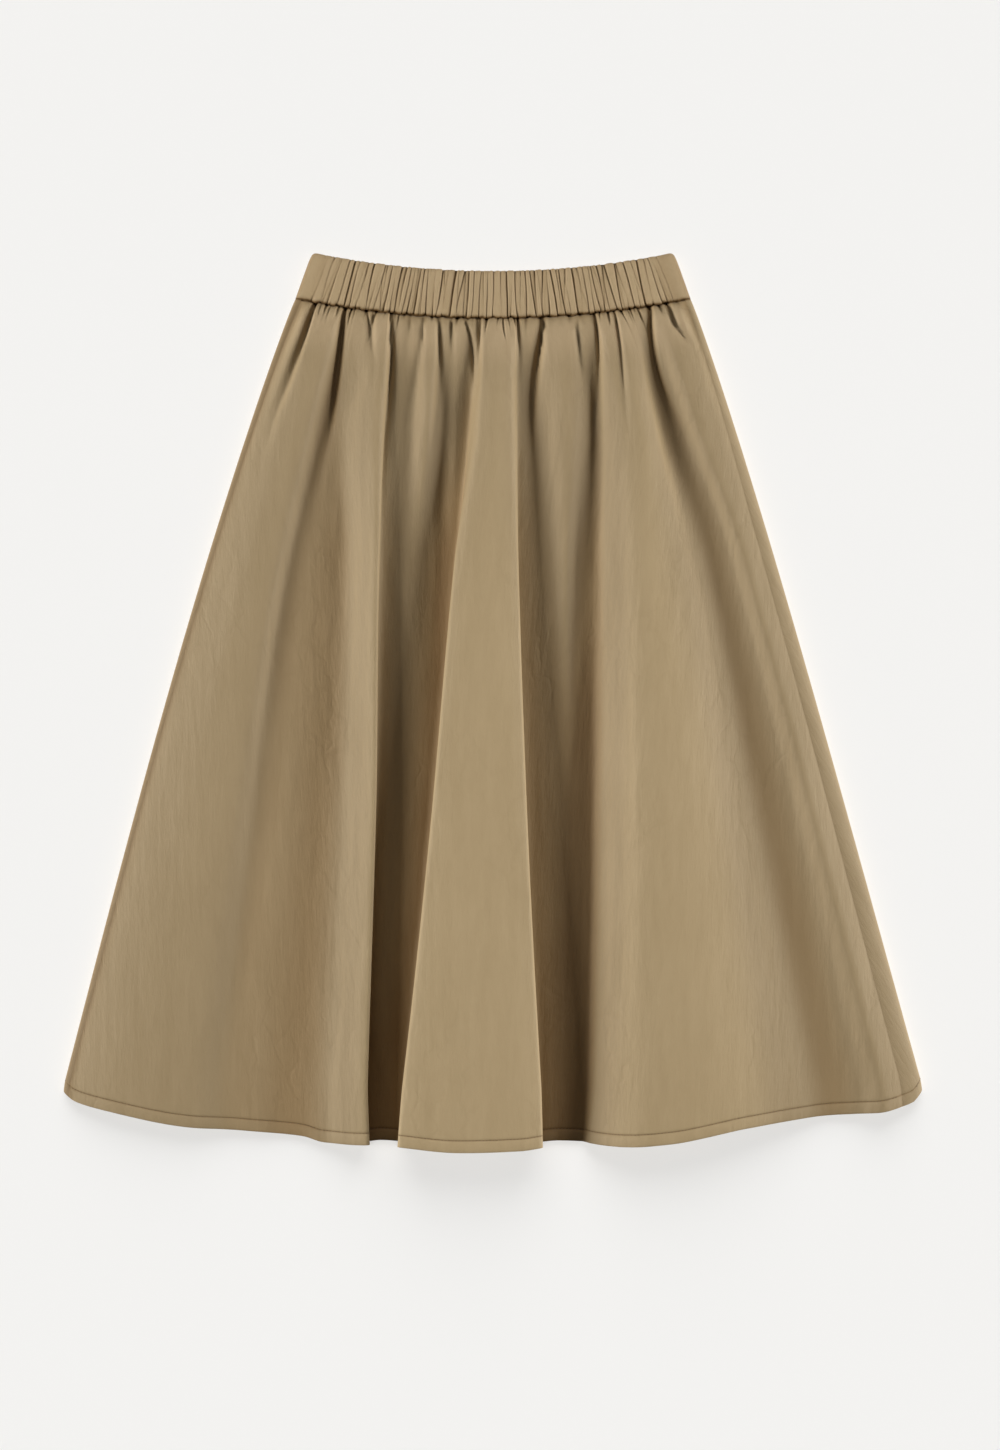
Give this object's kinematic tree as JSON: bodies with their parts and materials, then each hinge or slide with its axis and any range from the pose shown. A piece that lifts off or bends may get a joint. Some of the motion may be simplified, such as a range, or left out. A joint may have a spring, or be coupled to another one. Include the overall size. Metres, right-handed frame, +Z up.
{
  "type": "gathered midi skirt laid flat",
  "caption": "A-line midi skirt of crisp woven cloth with a gathered elastic waistband, lying flat on its back with soft flutes down to a wide curved hem.",
  "frame": {"origin": "centre of the underside's bounding rectangle, on the surface that the skirt lies on", "axes": "+Z up, out of the skirt's front; +Y toward the waistband; +X toward the viewer's right, seen from above"},
  "size_m": [0.7878, 0.8198, 0.041],
  "materials": {
    "cloth": "crisp tan woven cloth, soft sheen"
  },
  "bodies": {
    "root": {"front_panel": "cloth", "back_panel": "cloth", "waistband_front": "cloth", "waistband_back": "cloth"}
  },
  "joints": []
}
